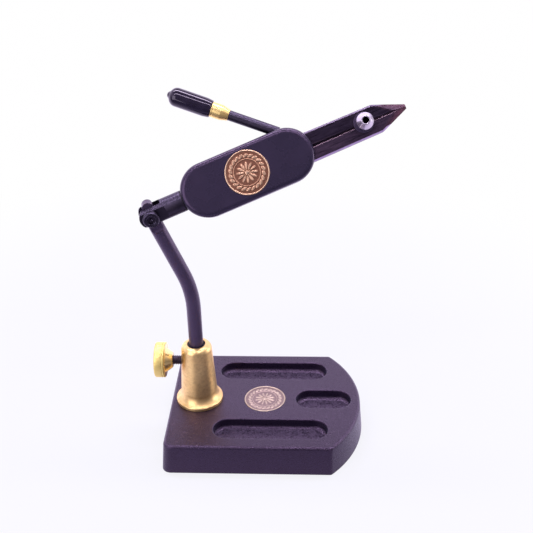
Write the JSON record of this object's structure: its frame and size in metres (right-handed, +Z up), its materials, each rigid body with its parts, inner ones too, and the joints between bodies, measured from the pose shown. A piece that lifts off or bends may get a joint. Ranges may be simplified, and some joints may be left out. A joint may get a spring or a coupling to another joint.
{
  "type": "fly tying vise",
  "caption": "Fly tying vise: spring jaw head with squeeze lever on a tilting knuckle and bent stem, in a brass pedestal on a flat base with tool pockets.",
  "frame": {"origin": "on the pedestal axis, at the underside of the base pad, where the vise stands", "axes": "+Z up, +X from the pedestal towards the rounded nose of the base, +Y to the far side of the base"},
  "size_m": [0.1644, 0.1068, 0.2342],
  "materials": {
    "base_coat": "textured",
    "dark_coat": "satin",
    "pedestal_brass": "satin",
    "knob_brass": "polished",
    "medallion": "antique",
    "jaw_steel": "satin",
    "nut_steel": "turned",
    "screw_steel": "plain",
    "spring_steel": "plain",
    "black_steel": "blackened",
    "sleeve_nylon": "matte",
    "tip_nylon": "matte",
    "pad_rubber": "matte",
    "grip_vinyl": "gloss"
  },
  "bodies": {
    "base": {"base_plate": "base_coat", "base_pad": "pad_rubber", "base_medallion": "medallion", "pedestal": "pedestal_brass", "pedestal_screw": "screw_steel"},
    "sleeve": {"stem_sleeve": "sleeve_nylon"},
    "stem": {"stem": "dark_coat"},
    "thumb_tip": {"thumb_tip": "tip_nylon"},
    "thumb_screw": {"thumb_stud": "black_steel", "thumb_knob": "knob_brass"},
    "knuckle": {"knuckle_fork": "dark_coat", "knuckle_screw": "black_steel", "shaft_clip": "screw_steel"},
    "head": {"shaft_washer": "sleeve_nylon", "head_shell_front": "dark_coat", "head_shell_back": "dark_coat", "head_screws": "black_steel", "head_medallion": "medallion", "lower_jaw": "jaw_steel", "jaw_spring": "spring_steel", "jaw_bolt": "black_steel", "jaw_washer": "jaw_steel", "jaw_nut": "nut_steel", "jaw_pins": "screw_steel", "lever_pin": "screw_steel"},
    "upper_jaw": {"upper_jaw": "jaw_steel"},
    "lever": {"lever_cam": "black_steel", "lever_rod": "dark_coat", "lever_ferrule": "knob_brass", "lever_grip": "grip_vinyl"}
  },
  "joints": [
    {"name": "stem_swivel", "type": "hinge", "parent": "base", "child": "sleeve", "pos_m": [0, 0, 0.0209], "axis": [0, 0, 1], "continuous": true},
    {"name": "stem_height", "type": "slide", "parent": "sleeve", "child": "stem", "axis": [0, 0, 1], "range_m": [0, 0.02]},
    {"name": "thumb_travel", "type": "slide", "parent": "base", "child": "thumb_tip", "axis": [-1, 0, 0], "range_m": [0, 0.00256]},
    {"name": "thumb_turn", "type": "hinge", "parent": "thumb_tip", "child": "thumb_screw", "pos_m": [-0.015, 0, 0.0529], "axis": [-1, 0, 0], "range_deg": [0, 720]},
    {"name": "knuckle_tilt", "type": "hinge", "parent": "stem", "child": "knuckle", "pos_m": [-0.0219, -0.00514, 0.1647], "axis": [0.2284, -0.9736, 0], "range_deg": [-10, 35]},
    {"name": "head_rotation", "type": "hinge", "parent": "knuckle", "child": "head", "pos_m": [-0.0219, -0.00514, 0.1647], "axis": [0.9189, 0.2155, 0.3305], "continuous": true},
    {"name": "lever_squeeze", "type": "hinge", "parent": "head", "child": "lever", "pos_m": [0.05928, 0.0205, 0.20701], "axis": [0.0478, -0.8923, 0.4489], "range_deg": [0, 25], "stiffness_Nm_per_rad": 3, "springref_deg": -5.73},
    {"name": "upper_jaw_open", "type": "hinge", "parent": "head", "child": "upper_jaw", "pos_m": [0.10797, 0.02552, 0.2118], "axis": [0.0478, -0.8923, 0.4489], "range_deg": [0, 1.51], "deforming": ["jaw_spring"]}
  ],
  "couplings": [
    {"joint": "thumb_travel", "follows": "thumb_turn", "m_per_rad": 0.00020213},
    {"joint": "upper_jaw_open", "follows": "lever_squeeze", "ratio": 0.06}
  ]
}
